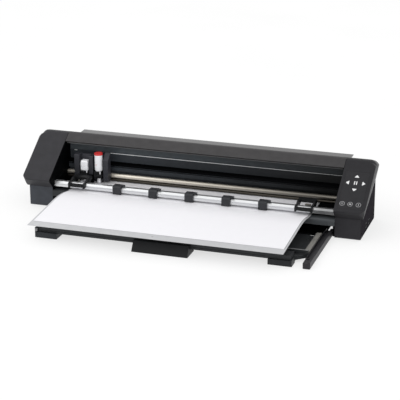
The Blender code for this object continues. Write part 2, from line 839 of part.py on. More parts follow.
def carriage():
    slide = empty("carriage_slide", (CARRIAGE_LEFT, CARRIAGE_BACK, 0.060), MACHINE)
    frame = box(
        "carriage_frame",
        (CARRIAGE_LEFT, 0.1105, 0.056),
        (CARRIAGE_RIGHT, CARRIAGE_BACK, 0.118),
        BLACK,
        slide,
    )
    for name, x0, x1, low, high, back in (
        ("left_pillar", CARRIAGE_LEFT, -0.3145, 0.064, 0.1180, 0.1180),
        ("middle_pillar", -0.2893, -0.2785, 0.066, 0.1172, 0.1172),
        ("right_pillar", -0.2512, CARRIAGE_RIGHT, 0.0560, 0.1088, 0.1255),
    ):
        outline = filleted(
            [
                (CARRIAGE_FACE, low, 0.001),
                (CARRIAGE_FACE, high, 0.001),
                (0.1065 if back == high else 0.1135, back, 0.0005),
                (0.1150, back, 0.001),
                (0.1150, low, 0.001),
            ],
            steps=1,
        )
        join(frame, prism_on(name, [outline], x0, x1, None, slide))
    bushing = box("bushing", (-0.324, 0.1145, 0.0580), (-0.243, 0.1320, 0.0712), parent=slide)
    follower = box("low_rod_follower", (-0.324, 0.1135, 0.0500), (-0.243, 0.1200, 0.0590), parent=slide)
    skirt = box("skirt", (-0.3080, 0.1078, 0.0492), (-0.2555, 0.1128, 0.0580), parent=slide)
    finger = box("belt_finger", (-0.284, 0.1145, 0.0880), (-0.274, 0.1276, 0.0920), parent=slide)
    join(frame, bushing, follower, skirt, finger)
    profile = [(0.06, ROD_R + GAP), (-0.06, ROD_R + GAP)]
    cut(frame, turned("rod_bore", profile, (-0.284, ROD_Y, ROD_Z), "X"))
    cut(frame, turned("tool_bay", [(0.06, 0.0106), (0.0, 0.0106)], (TOOL_2_X, TOOL_Y, 0.0755), "Z"))
    tool_1(slide)
    tool_2(slide)


def tool_clamp(name, x, half_x, holder, top):
    clamp = box(
        name,
        (x - half_x, TOOL_Y - 0.0095, 0.062),
        (x + half_x, TOOL_Y + 0.0080, top),
        BLACK,
        holder,
        bevel=0.0015,
    )
    bore = turned(name + "_bore", [(0.03, 0.0050), (-0.03, 0.0050)], (x, TOOL_Y, 0.070), "Z")
    return cut(clamp, bore)


def tool_1(slide):
    """The short automatic blade: a rounded square body on a round stem."""
    holder = empty("tool_1_slide", (TOOL_1_X, TOOL_Y, 0.062), slide)
    body = box(
        "blade_tool",
        (TOOL_1_X - 0.0096, TOOL_Y - 0.0105, 0.0788),
        (TOOL_1_X + 0.0096, TOOL_Y + 0.0080, 0.1052),
        WHITE,
        holder,
        bevel=0.0035,
        segments=3,
    )
    stem = turned(
        "blade_stem",
        [(0.0313, 0.0045), (0.003, 0.0045), (0.0, 0.0025)],
        (TOOL_1_X, TOOL_Y, 0.0487),
        "Z",
        parent=holder,
    )
    join(body, stem)
    tool_clamp("blade_clamp", TOOL_1_X, 0.0106, holder, 0.0784)


def tool_2(slide):
    """The tall round tool with its red cap."""
    holder = empty("tool_2_slide", (TOOL_2_X, TOOL_Y, 0.062), slide)
    profile = [
        (0.0728, 0.0096),
        (0.0725, 0.0099),
        (0.0340, 0.0099),
        (0.0315, 0.0084),
        (0.0315, 0.0045),
        (0.0016, 0.0045),
        (0.0, 0.0034),
    ]
    turned("round_tool", profile, (TOOL_2_X, TOOL_Y, 0.0487), "Z", WHITE, holder, steps=32)
    rim = [(0.0046, 0.0098), (0.0041, 0.0105), (0.0, 0.0105)]
    cap = turned("round_tool_cap", rim, (TOOL_2_X, TOOL_Y, 0.1218), "Z", RED, holder, steps=32)
    dish = [(0.0060, 0.0088), (0.0036, 0.0082)]
    cut(cap, turned("cap_dish", dish, (TOOL_2_X, TOOL_Y, 0.1218), "Z", parent=holder, steps=32))
    tool_clamp("round_tool_clamp", TOOL_2_X, 0.0106, holder, 0.0798)


# Lid, drawer and media


def lid():
    axis = empty("lid_axis", (0, LID_AXIS_Y, LID_AXIS_Z), MACHINE)
    front, rear = LID_AXIS_Y - LID_FRONT, LID_AXIS_Y + LID_REAR
    low = LID_OPEN_Z - LID_THICK
    section = [
        (front, low),
        (front, LID_OPEN_Z - 0.0005),
        (front + 0.0005, LID_OPEN_Z),
        (rear - 0.0015, LID_OPEN_Z),
        (rear, LID_OPEN_Z - 0.0015),
        (rear, low),
    ]
    prism_on("sliding_lid", [section], -LID_HALF_X, LID_HALF_X, LID_GREY, axis)


def drawer():
    slide = empty("drawer_slide", (0, DRAWER_FRONT, 0.010), MACHINE)
    bar_rear = -0.148
    main = [
        (DRAWER_FRONT, BAR_UNDER_Z),
        (DRAWER_FRONT, BAR_OVER_Z),
        (bar_rear, BAR_OVER_Z),
        (bar_rear, TRAY_FLOOR_TOP),
        (DRAWER_REAR, TRAY_FLOOR_TOP),
        (DRAWER_REAR, TRAY_FLOOR_Z),
        (bar_rear - 0.004, TRAY_FLOOR_Z),
        (bar_rear - 0.004, BAR_UNDER_Z),
    ]
    tray = prism_on("drawer_tray", [main], DRAWER_LEFT, DRAWER_RIGHT, BLACK, slide)
    step_front = -0.131
    wing = [
        (step_front, TRAY_FLOOR_Z - 0.0004),
        (step_front, 0.0235),
        (step_front + 0.003, 0.0235),
        (step_front + 0.003, TRAY_FLOOR_TOP - 0.0004),
        (DRAWER_REAR - 0.001, TRAY_FLOOR_TOP - 0.0004),
        (DRAWER_REAR - 0.001, TRAY_FLOOR_Z - 0.0004),
    ]
    brace = [(0.298, -0.1530), (0.3100, -0.1530), (0.3300, -0.1345), (0.3300, -0.1300), (0.298, -0.1300)]
    join(
        tray,
        prism_on("tray_wing", [wing], 0.284, TRAY_RIGHT, None, slide),
        prism_on("tray_brace", [brace], 0.0069, 0.0150, None, slide, along="Z"),
        box(
            "tray_side",
            (RUNNER_X0 - 0.0027, step_front + 0.0005, 0.0072),
            (RUNNER_X0 - GAP, DRAWER_REAR - 0.0015, 0.0165),
            parent=slide,
        ),
    )
    shoe_rear = -0.155
    for name, x0, x1, end_x0, end_x1 in (
        ("roll_guide_left", -0.3118, -0.2595, -0.3142, DRAWER_LEFT - GAP),
        ("roll_guide_right", 0.2515, 0.3058, DRAWER_RIGHT + GAP, 0.3076),
    ):
        shoe = box(
            name,
            (x0, -0.184, SHOE_BASE),
            (x1, shoe_rear, BAR_UNDER_Z - GAP),
            BLACK,
            slide,
            bevel=0.0008,
            segments=1,
        )
        end_top = BAR_OVER_Z if x0 < 0 else 0.0160
        join(
            shoe,
            box(
                name + "_end",
                (end_x0, -0.1835, SHOE_BASE + 0.0004),
                (end_x1, shoe_rear - 0.0004, end_top),
                parent=slide,
            ),
            box(
                name + "_lip",
                (x0 + 0.0004, -0.1838, SHOE_BASE + 0.0004),
                (x1 - 0.0004, DRAWER_FRONT - GAP, 0.0143),
                parent=slide,
            ),
            box(
                name + "_tail",
                (x0 + 0.0004, shoe_rear - 0.002, SHOE_BASE + 0.0004),
                (x1 - 0.0004, -0.122, 0.0062),
                parent=slide,
            ),
        )
    grip = filleted(
        [
            (HANDLE_FRONT, SHOE_BASE),
            (HANDLE_FRONT, 0.0030, 0.001),
            (-0.189, 0.0240, 0.001),
            (DRAWER_FRONT - 0.0004, 0.0240, 0.001),
            (DRAWER_FRONT - 0.0004, BAR_UNDER_Z - GAP),
            (shoe_rear, BAR_UNDER_Z - GAP),
            (shoe_rear, SHOE_BASE),
        ],
        steps=2,
    )
    prism_on("drawer_handle", [grip], -0.066, 0.0690, BLACK, slide)
    rail = box("drawer_rail", (TRAY_RIGHT + GAP, -0.186, SHOE_BASE), (0.3500, 0.040, 0.0168), BLACK, slide)
    soften(rail, 0.0010, 1)
    cut(
        rail,
        box("rail_channel", (0.3350, -0.160, 0.0110), (0.3445, 0.050, 0.030), parent=slide),
        box("rail_step", (0.3300, -0.190, 0.0142), (0.3445, -0.1615, 0.030), parent=slide),
    )
    box(
        "steel_runner",
        (RUNNER_X0, step_front + 0.003 + GAP, TRAY_FLOOR_TOP),
        (TRAY_RIGHT - GAP, DRAWER_REAR - 0.002, 0.0186),
        STEEL,
        slide,
        bevel=0.0012,
    )


def media_height(y):
    """How far the mat's free part stands above its level stretch: up in an arc, then down in a straight line."""
    out = ARCH_START - y
    if out <= 0:
        return 0.0
    lift = ARCH_RISE * (out * out / (2 * ARCH_EASE) if out < ARCH_EASE else out - ARCH_EASE / 2)
    arc_end = (ARCH_RISE + ARCH_FALL) * ARCH_RADIUS
    if out < arc_end:
        return lift - out * out / (2 * ARCH_RADIUS)
    return lift - arc_end * arc_end / (2 * ARCH_RADIUS) - (ARCH_RISE + ARCH_FALL) * (out - arc_end)


def media_outline(front, rear, under, thick):
    arc_end = (ARCH_RISE + ARCH_FALL) * ARCH_RADIUS
    stations = [rear, ARCH_START]
    stations += [ARCH_START - ARCH_EASE * k / 3 for k in range(1, 4)]
    stations += [ARCH_START - ARCH_EASE - (arc_end - ARCH_EASE) * k / 9 for k in range(1, 10)]
    stations.append(front)
    low = [(y, under + media_height(y)) for y in stations]
    high = [(y, z + thick) for y, z in low]
    return low + high[::-1]


def media():
    feed = empty("media_feed", (0, MAT_FRONT, MAT_Z), MACHINE)
    prism_on(
        "cutting_mat",
        [media_outline(MAT_FRONT, MAT_REAR, MAT_Z, MAT_THICK)],
        MAT_LEFT,
        MAT_RIGHT,
        MAT_GREY,
        feed,
    )
    prism_on(
        "vinyl_sheet",
        [media_outline(SHEET_FRONT, SHEET_REAR, SHEET_Z, SHEET_THICK)],
        SHEET_LEFT,
        SHEET_RIGHT,
        VINYL,
        feed,
    )


def shade_round_pieces():
    for obj in PARTS.objects:
        if obj.type == "MESH":
            obj.data.shade_smooth()
            obj.data.set_sharp_from_angle(angle=radians(35))


end_housings()
middle_covers()
platen()
guide_beam()
pinch_bar()
feed_drive()
belt_drive()
for number, clip_x in enumerate(CLIP_X, start=1):
    roller_clip(number, clip_x)
for which in CARRIER_X:
    roller_carrier(which)
carriage()
lid()
drawer()
media()
box("main_board", (0.3620, 0.100, 0.015), (0.3636, 0.165, 0.075), BOARD_GREEN)
shade_round_pieces()
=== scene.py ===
"""The vinyl cutter's looks: materials, small details, light and camera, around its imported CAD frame."""

from math import atan2, cos, pi, radians, sin

import bmesh
import bpy
from mathutils import Matrix, Vector

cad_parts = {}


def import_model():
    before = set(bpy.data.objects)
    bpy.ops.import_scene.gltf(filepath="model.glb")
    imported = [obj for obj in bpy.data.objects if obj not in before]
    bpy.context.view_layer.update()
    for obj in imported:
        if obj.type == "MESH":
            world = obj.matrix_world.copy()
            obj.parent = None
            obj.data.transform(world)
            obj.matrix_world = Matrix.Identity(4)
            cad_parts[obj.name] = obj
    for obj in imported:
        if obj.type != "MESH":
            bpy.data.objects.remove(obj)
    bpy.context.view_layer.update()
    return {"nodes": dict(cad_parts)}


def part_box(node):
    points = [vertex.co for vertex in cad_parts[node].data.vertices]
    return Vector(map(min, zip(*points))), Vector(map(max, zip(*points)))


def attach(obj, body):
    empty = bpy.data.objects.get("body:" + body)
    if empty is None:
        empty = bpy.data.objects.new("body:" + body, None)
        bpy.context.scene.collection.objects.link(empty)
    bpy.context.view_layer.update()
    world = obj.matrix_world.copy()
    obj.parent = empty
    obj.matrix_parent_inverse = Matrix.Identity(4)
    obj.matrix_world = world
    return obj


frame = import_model()

# The nose is the lower front edge of the slanted faces; depths below are measured from it
NOSE_Z = 0.075
SLOPE_RISE, SLOPE_RUN = 0.0896, 0.1366
SLOPE = atan2(SLOPE_RISE, SLOPE_RUN)
PANEL_START = 0.012  # from the nose up the slope to the touch panel's lower edge
NOSE_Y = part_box("touch_panel")[0].y - PANEL_START * cos(SLOPE)

BAY_HALF = 0.3560  # half the bay's length, less a gap
TURN_FLAT = radians(90)


def middle_x(node):
    low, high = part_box(node)
    return (low.x + high.x) / 2


# Materials


def mottled(name, dark, light, roughness, scale=60, bump=0.1, grain=(1, 1, 1), fade=None, **extra):
    """A surface whose colour and roughness wander a little, with a fine relief.

    A falloff of (from x, to x, share) turns the colour to that share of itself along X: painted light and
    shade, standing in for light that falls off across the machine.
    """
    material = bpy.data.materials.new(name)
    material.use_nodes = True
    tree = material.node_tree
    shader = tree.nodes["Principled BSDF"]
    link = tree.links.new
    place = tree.nodes.new("ShaderNodeTexCoord")
    stretch = tree.nodes.new("ShaderNodeMapping")
    stretch.inputs["Scale"].default_value = grain
    link(place.outputs["Object"], stretch.inputs["Vector"])

    cloud = tree.nodes.new("ShaderNodeTexNoise")
    cloud.inputs["Scale"].default_value = scale
    cloud.inputs["Detail"].default_value = 4
    link(stretch.outputs["Vector"], cloud.inputs["Vector"])
    tint = tree.nodes.new("ShaderNodeValToRGB")
    tint.color_ramp.elements[0].position = 0.3
    tint.color_ramp.elements[1].position = 0.7
    tint.color_ramp.elements[0].color = (*dark, 1)
    tint.color_ramp.elements[1].color = (*light, 1)
    link(cloud.outputs["Fac"], tint.inputs["Fac"])
    colour = tint.outputs["Color"]
    # The ramp along X paints light and shade into the colour
    if fade:
        parts = tree.nodes.new("ShaderNodeSeparateXYZ")
        link(place.outputs["Object"], parts.inputs["Vector"])
        share = tree.nodes.new("ShaderNodeMapRange")
        share.inputs["From Min"].default_value = fade[0]
        share.inputs["From Max"].default_value = fade[1]
        share.inputs["To Min"].default_value = 1
        share.inputs["To Max"].default_value = fade[2]
        link(parts.outputs["X"], share.inputs["Value"])
        dim = tree.nodes.new("ShaderNodeVectorMath")
        dim.operation = "SCALE"
        link(colour, dim.inputs[0])
        link(share.outputs["Result"], dim.inputs["Scale"])
        colour = dim.outputs["Vector"]
    link(colour, shader.inputs["Base Color"])

    wear = tree.nodes.new("ShaderNodeMapRange")
    wear.inputs["To Min"].default_value = roughness[0]
    wear.inputs["To Max"].default_value = roughness[1]
    link(cloud.outputs["Fac"], wear.inputs["Value"])
    link(wear.outputs["Result"], shader.inputs["Roughness"])

    fine = tree.nodes.new("ShaderNodeTexNoise")
    fine.inputs["Scale"].default_value = 900
    link(stretch.outputs["Vector"], fine.inputs["Vector"])
    relief = tree.nodes.new("ShaderNodeBump")
    relief.inputs["Strength"].default_value = bump
    relief.inputs["Distance"].default_value = 0.0002
    link(fine.outputs["Fac"], relief.inputs["Height"])
    link(relief.outputs["Normal"], shader.inputs["Normal"])

    for socket, value in extra.items():
        shader.inputs[socket.replace("_", " ")].default_value = value
    return material


def plastic(name, colour, roughness=(0.4, 0.5), shine=0.25, spread=0.12, **extra):
    """A dark moulded plastic: its colour wanders by this spread, and shine scales its reflection."""
    dark = [part * (1 - spread) for part in colour]
    light = [part * (1 + spread) for part in colour]
    extra.setdefault("bump", 0.2)
    return mottled(name, dark, light, roughness, Specular_IOR_Level=shine, **extra)


# The left and right caps share one plastic; the right copy is darker as painted shade, where the light falls
# off to the right.
CAP_LIT = plastic("left_cap_lit_plastic", (0.0265, 0.0260, 0.0298))
CAP_SHADED = plastic("right_cap_shaded_plastic", (0.0135, 0.0130, 0.0156))
PANEL = plastic("panel_gloss", (0.0130, 0.0125, 0.0150), (0.34, 0.40), 0.28, bump=0.03)
# The left and right bodies share one plastic; the right copy, also used on the rear cover, is darker as
# painted shade.
BODY_LIT = plastic("left_body_lit_plastic", (0.040, 0.044, 0.053))
BODY_SHADED = plastic("right_body_shaded_plastic", (0.0165, 0.0160, 0.0190))
# Darker plastic for the bodies' faces turned to the right: painted shade.
SHADE = plastic("right_side_painted_shade", (0.0200, 0.0180, 0.0220), (0.6, 0.7), 0.05, IOR=1.1)
# The cover and the lid darken towards the right: painted shade.
COVER = plastic("cover_plastic", (0.044, 0.042, 0.0435), (0.45, 0.55), 0.3, fade=(0.0, 0.36, 0.85))
LID = plastic("lid_gloss", (0.07, 0.07, 0.0715), (0.10, 0.16), 0.55, bump=0.02, fade=(-0.34, 0.34, 0.45))
BLACK = plastic("black_plastic", (0.0110, 0.0115, 0.0125), shine=0.15)
# Near black for black parts, and painted shade: the end housings' faces into the bay and the dark strips
# laid where the machine is in shade.
BLACK_AND_SHADE = plastic("black_and_painted_shade", (0.0016, 0.0018, 0.0022), (0.6, 0.7), 0.03)
CLIP = plastic("clip_plastic", (0.030, 0.031, 0.035), shine=0.25)
# The platen lightens towards the right: painted light.
PLATEN = plastic("platen_plastic", (0.022, 0.024, 0.026), shine=0.25, fade=(-0.3, 0.3, 2.4))
TRAY = plastic("tray_plastic", (0.024, 0.026, 0.028), shine=0.2)
RAIL = plastic("rail_plastic", (0.020, 0.019, 0.022), shine=0.22)
# The roll guides darken towards the right: painted shade.
SHOE = plastic("shoe_plastic", (0.022, 0.025, 0.028), shine=0.22, fade=(-0.3, 0.3, 0.6))
CARRIAGE = plastic("carriage_plastic", (0.034, 0.035, 0.042), shine=0.25)
# The beam's band and the beam darken towards the right, the beam almost to black: painted shade in the bay.
FASCIA = plastic("fascia_plastic", (0.075, 0.088, 0.098), shine=0.2, fade=(-0.35, 0.25, 0.25))
BEAM = plastic("beam_paint", (0.042, 0.048, 0.056), (0.4, 0.5), 0.2, fade=(-0.35, 0.30, 0.05), bump=0.1)
RUBBER = plastic("rubber", (0.008, 0.008, 0.008), (0.7, 0.9), 0.1, bump=0.3)
# A light grey for thin strips that paint highlights along edges; it darkens towards the right as painted
# shade.
HIGHLIGHT = mottled("painted_highlight", (0.78, 0.80, 0.81), (0.86, 0.88, 0.89), (0.3, 0.4), fade=(-0.2, 0.3, 0.35))
# The upper rod darkens towards the right: painted shade.
ROD = mottled(
    "ground_rod",
    (0.80, 0.74, 0.64),
    (0.94, 0.88, 0.77),
    (0.3, 0.42),
    grain=(0.05, 1, 1),
    fade=(-0.25, 0.25, 0.2),
    Metallic=0.75,
)
# The lower rod is a dark copy of a rod's colour: painted shade, as it lies in shadow under the upper rod.
LOW_ROD = mottled(
    "shaded_rod", (0.060, 0.054, 0.045), (0.085, 0.077, 0.066), (0.4, 0.5), grain=(0.05, 1, 1), Metallic=1.0
)
STEEL = mottled(
    "ground_steel", (0.42, 0.40, 0.37), (0.52, 0.50, 0.46), (0.35, 0.45), grain=(0.05, 1, 1), Metallic=1.0
)
RUNNER = mottled("galvanised_steel", (0.20, 0.195, 0.18), (0.26, 0.25, 0.23), (0.4, 0.5), Metallic=0.3)
# The pinch bar darkens at its right end: painted shade.
ALUMINIUM = mottled(
    "bright_aluminium",
    (0.69, 0.70, 0.71),
    (0.75, 0.76, 0.77),
    (0.3, 0.38),
    grain=(0.04, 1, 1),
    fade=(0.27, 0.32, 0.45),
    Metallic=0.9,
)
WHITE = mottled("white_plastic", (0.84, 0.845, 0.87), (0.88, 0.885, 0.91), (0.35, 0.45), bump=0.05)
RED = mottled("red_plastic", (0.56, 0.024, 0.024), (0.64, 0.032, 0.032), (0.35, 0.45), bump=0.05)
# The mat and the sheet darken towards the right: painted shade.
MAT = mottled(
    "mat_plastic", (0.50, 0.505, 0.52), (0.545, 0.55, 0.565), (0.3, 0.4), bump=0.05, fade=(-0.3, 0.1, 0.92)
)
VINYL = mottled(
    "white_vinyl", (0.855, 0.85, 0.88), (0.865, 0.86, 0.89), (0.5, 0.6), bump=0.02, fade=(0.0, 0.3, 0.97)
)
# Grey for the blade tool's printed line, the bar's end plug and the painted shadow along the sheet's edge.
LINE = mottled("edge_grey", (0.30, 0.30, 0.31), (0.36, 0.36, 0.37), (0.5, 0.6), bump=0.02)
BOARD = mottled("circuit_board", (0.01, 0.09, 0.03), (0.02, 0.13, 0.05), (0.4, 0.6), bump=0.2)
SIGN = mottled("sign_white", (0.74, 0.74, 0.75), (0.80, 0.80, 0.81), (0.4, 0.5), bump=0.02)
SIGN_DIM = mottled("sign_grey", (0.36, 0.36, 0.37), (0.42, 0.42, 0.43), (0.4, 0.5), bump=0.02)

PAINTS = {
    "left_end_cap": CAP_LIT,
    "right_end_cap": CAP_SHADED,
    "left_end_body": BODY_LIT,
    "right_end_body": BODY_SHADED,
    "touch_panel": PANEL,
    "top_cover": COVER,
    "rear_cover": BODY_SHADED,
    "base_pan": BLACK_AND_SHADE,
    "platen": PLATEN,
    "guide_beam": BEAM,
    "guide_rod": ROD,
    "lower_guide_rod": LOW_ROD,
    "sliding_lid": LID,
    "pinch_bar": ALUMINIUM,
    "feed_pinion": STEEL,
    "drive_roller": STEEL,
    "feed_motor": STEEL,
    "carriage_motor": STEEL,
    "steel_runner": RUNNER,
    "drawer_tray": TRAY,
    "drawer_rail": RAIL,
    "roll_guide_left": SHOE,
    "roll_guide_right": SHOE,
    "feed_gear": WHITE,
    "belt_pulley_left": WHITE,
    "belt_pulley_right": WHITE,
    "carriage_belt": BLACK_AND_SHADE,
    "carriage_frame": CARRIAGE,
    "blade_tool": WHITE,
    "round_tool": WHITE,
    "round_tool_cap": RED,
    "cutting_mat": MAT,
    "vinyl_sheet": VINYL,
    "main_board": BOARD,
}
PAINT_GROUPS = (("rubber", RUBBER), ("pinch_roller", RUBBER), ("roller_clip", CLIP), ("clip_lever", CLIP))


def paint(obj, *materials):
    obj.data.materials.clear()
    for material in materials:
        obj.data.materials.append(material)


def darken_sides(obj, side):
    """An end housing's faces into the bay take painted shade in near black, and a body's faces turned to the
    right take a darker plastic, also painted shade.
    """
    for face in obj.data.polygons:
        inner = face.normal.x * side < -0.9
        right = "body" in obj.name and face.normal.x > 0.6
        face.material_index = 1 if inner else 2 if right else 0


for name, obj in frame["nodes"].items():
    group = [material for part, material in PAINT_GROUPS if part in name]
    paint(obj, PAINTS.get(name) or (group[0] if group else BLACK))
    # End housings take two more materials, both painted shade: near black for faces into the bay, a darker
    # plastic for faces turned right
    if "end_cap" in name or "end_body" in name:
        obj.data.materials.append(BLACK_AND_SHADE)
        obj.data.materials.append(SHADE)
        darken_sides(obj, -1 if "left" in name else 1)


# Small pieces


def piece(name, bm, material, body="housing"):
    """Makes the mesh an object that rides on a body."""
    bmesh.ops.recalc_face_normals(bm, faces=bm.faces)
    mesh = bpy.data.meshes.new(name)
    bm.to_mesh(mesh)
    bm.free()
    mesh.shade_smooth()
    mesh.set_sharp_from_angle(angle=radians(35))
    made = bpy.data.objects.new(name, mesh)
    bpy.context.scene.collection.objects.link(made)
    paint(made, material)
    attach(made, body)


def slope_frame(x, distance, turn=0.0):
    """Local X and Y lie in the slanted face, turned about local Z, which stands off it."""
    spot = (x, NOSE_Y + distance * cos(SLOPE), NOSE_Z + distance * sin(SLOPE))
    return Matrix.Translation(spot) @ Matrix.Rotation(SLOPE, 4, "X") @ Matrix.Rotation(turn, 4, "Z")


def extruded(bm, outline, low, high, at=Matrix()):
    """A flat outline in local X and Y, drawn out along local Z."""
    bottom = [bm.verts.new(at @ Vector((*point, low))) for point in outline]
    top = [bm.verts.new(at @ Vector((*point, high))) for point in outline]
    count = len(outline)
    for i in range(count):
        bm.faces.new((bottom[i], bottom[(i + 1) % count], top[(i + 1) % count], top[i]))
    bm.faces.new(bottom)
    bm.faces.new(top)


def circle(radius, steps):
    return [(radius * cos(2 * pi * k / steps), radius * sin(2 * pi * k / steps)) for k in range(steps)]


def ring(bm, inner, outer, low, high, at=Matrix(), steps=28):
    """A flat ring round local Z."""
    rings = []
    for radius, height in ((inner, low), (outer, low), (outer, high), (inner, high)):
        rings.append([bm.verts.new(at @ Vector((*point, height))) for point in circle(radius, steps)])
    for near, far in zip(rings, rings[1:] + rings[:1]):
        for k in range(steps):
            bm.faces.new((near[k], near[(k + 1) % steps], far[(k + 1) % steps], far[k]))


def block(bm, low, high, soft=0.0003):
    """A box between two corners with softened edges; depths are measured from the nose."""
    low = Vector(low) + Vector((0, NOSE_Y, 0))
    high = Vector(high) + Vector((0, NOSE_Y, 0))
    size = high - low
    place = Matrix.Translation((low + high) / 2) @ Matrix.Diagonal((*size, 1))
    made = bmesh.ops.create_cube(bm, size=1, matrix=place)
    edges = {edge for vertex in made["verts"] for edge in vertex.link_edges}
    bmesh.ops.bevel(bm, geom=list(edges), offset=min(soft, min(size) / 3), segments=2, affect="EDGES")


def rounded(width, height, radius, steps=5):
    """Outline of a rectangle with round corners, centred on the origin."""
    points = []
    for k, (sx, sy) in enumerate(((1, 1), (-1, 1), (-1, -1), (1, -1))):
        for step in range(steps + 1):
            angle = pi / 2 * (k + step / steps)
            x = sx * (width / 2 - radius) + radius * cos(angle)
            y = sy * (height / 2 - radius) + radius * sin(angle)
            points.append((x, y))
    return points


SIGN_LOW, SIGN_HIGH = -0.0001, 0.00015  # how far a sign reaches below and above the slanted face
ARROW = (
    (-0.0053, -0.0033),
    (0.0053, -0.0033),
    (0.0050, -0.0020),
    (0.0007, 0.0036),
    (-0.0007, 0.0036),
    (-0.0050, -0.0020),
)
PAUSE_X, PAUSE_UP = 0.3927, 0.0884
RINGS_X = (0.3734, 0.3922, 0.4118)
RINGS_UP = 0.0253


def sign(bm, outline, x, distance, turn=0.0):
    extruded(bm, outline, SIGN_LOW, SIGN_HIGH, slope_frame(x, distance, turn))


def touch_signs():
    """Four arrows round a pause sign, and three ringed marks below them."""
    bm = bmesh.new()
    sign(bm, ARROW, 0.3925, 0.1080)
    sign(bm, ARROW, 0.3738, 0.0878, TURN_FLAT)
    sign(bm, ARROW, 0.4118, 0.0882, -TURN_FLAT)
    sign(bm, ARROW, 0.3930, 0.0680, 2 * TURN_FLAT)
    for shift in (-0.0025, 0.0025):
        sign(bm, rounded(0.0022, 0.0100, 0.0004), PAUSE_X + shift, PAUSE_UP)
    piece("touch_arrows", bm, SIGN)

    bm = bmesh.new()
    for x in RINGS_X:
        ring(bm, 0.0053, 0.0061, SIGN_LOW, SIGN_HIGH, slope_frame(x, RINGS_UP))
    for shift in (-0.0013, 0.0013):
        sign(bm, rounded(0.0050, 0.0010, 0.0004), RINGS_X[0], RINGS_UP + shift)
    sign(bm, rounded(0.0056, 0.0034, 0.0008), RINGS_X[1], RINGS_UP)
    sign(bm, rounded(0.0012, 0.0062, 0.0005), RINGS_X[2], RINGS_UP)
    piece("touch_rings", bm, SIGN_DIM)


def cover_seams():
    """The dark joints where the cover meets the end caps."""
    bm = bmesh.new()
    for x in (-0.3566, 0.3566):
        sign(bm, rounded(0.0010, 0.0260, 0.0003), x, 0.1440)
    piece("cover_seams", bm, BLACK_AND_SHADE)


def bay_trim():
    """The band on the beam, a bright strip that paints the highlight along its lower edge, and dark strips
    of painted shade round the bay.
    """
    bm = bmesh.new()
    block(bm, (-BAY_HALF, 0.1393, 0.1172), (BAY_HALF, 0.1406, 0.1325), 0.0004)
    piece("beam_fascia", bm, FASCIA)
    bm = bmesh.new()
    # A thin bright strip paints the highlight along the beam's lower edge
    block(bm, (-0.345, 0.1385, 0.1150), (-0.337, 0.1405, 0.1168), 0.0003)
    block(bm, (-0.256, 0.1385, 0.1150), (0.352, 0.1405, 0.1165), 0.0003)
    piece("beam_highlight_strip", bm, HIGHLIGHT)
    # The dark strips from here on are painted shade, laid where the machine is in shade
    bm = bmesh.new()
    block(bm, (-BAY_HALF, 0.1275, 0.0835), (BAY_HALF, 0.1285, 0.0850), 0.0003)
    block(bm, (-BAY_HALF, 0.1493, 0.0862), (BAY_HALF, 0.1500, 0.0938), 0.0002)
    piece("belt_channel_shade", bm, BLACK_AND_SHADE)
    bm = bmesh.new()
    block(bm, (0.2975, 0.0450, 0.0457), (0.3562, 0.1360, 0.0462), 0.0001)
    block(bm, (-0.3562, 0.0450, 0.0457), (-0.3185, 0.1360, 0.0462), 0.0001)
    piece("platen_side_shade", bm, BLACK_AND_SHADE)
    bm = bmesh.new()
    block(bm, (0.3509, 0.0300, 0.0012), (0.3563, 0.0440, 0.0296), 0.0004)
    block(bm, (0.3290, 0.0460, 0.0200), (0.3563, 0.0480, 0.0296), 0.0004)
    piece("rail_side_shade", bm, BLACK_AND_SHADE)
    bm = bmesh.new()
    block(bm, (-0.2895, 0.0935, 0.0486), (-0.2760, 0.0955, 0.0700), 0.0004)
    piece("carriage_shade", bm, BLACK_AND_SHADE, "carriage")


def tool_marks():
    """A red dot, a grey line, white latch tabs and clamp ribs on the tools."""
    low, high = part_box("round_tool")
    radius = (high.x - low.x) / 2
    bm = bmesh.new()
    at = Matrix.Translation((middle_x("round_tool") - 0.0035, (low.y + high.y) / 2 - radius * 0.955, 0.0975))
    at = at @ Matrix.Rotation(-0.36, 4, "Z") @ Matrix.Rotation(TURN_FLAT, 4, "X")
    extruded(bm, circle(0.0010, 16), -0.0004, 0.0004, at)
    piece("round_tool_dot", bm, RED, "round_holder")

    bm = bmesh.new()
    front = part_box("blade_tool")[0].y - NOSE_Y
    for x0, x1 in ((-0.3080, -0.3050), (-0.3042, -0.3018), (-0.3010, -0.2980)):
        block(bm, (x0, front - 0.00005, 0.0905), (x1, front + 0.0004, 0.0911), 0.0001)
    piece("blade_tool_line", bm, LINE, "blade_holder")

    blade_latch = ("blade", (-0.2944, -0.2922), (0.0745, 0.0800))
    round_latch = ("round", (-0.2588, -0.2568), (0.0738, 0.0812))
    for name, (x0, x1), (z0, z1) in (blade_latch, round_latch):
        bm = bmesh.new()
        block(bm, (x0, 0.0902, z0), (x1, 0.0925, z1), 0.0005)
        piece(name + "_latch", bm, WHITE, name + "_holder")
    for name in ("blade", "round"):
        x = middle_x(name + "_tool")
        bm = bmesh.new()
        for z in (0.0660, 0.0700):
            block(bm, (x - 0.0090, 0.0906, z), (x + 0.0090, 0.0917, z + 0.0008), 0.0003)
        piece(name + "_clamp_ribs", bm, CLIP, name + "_holder")


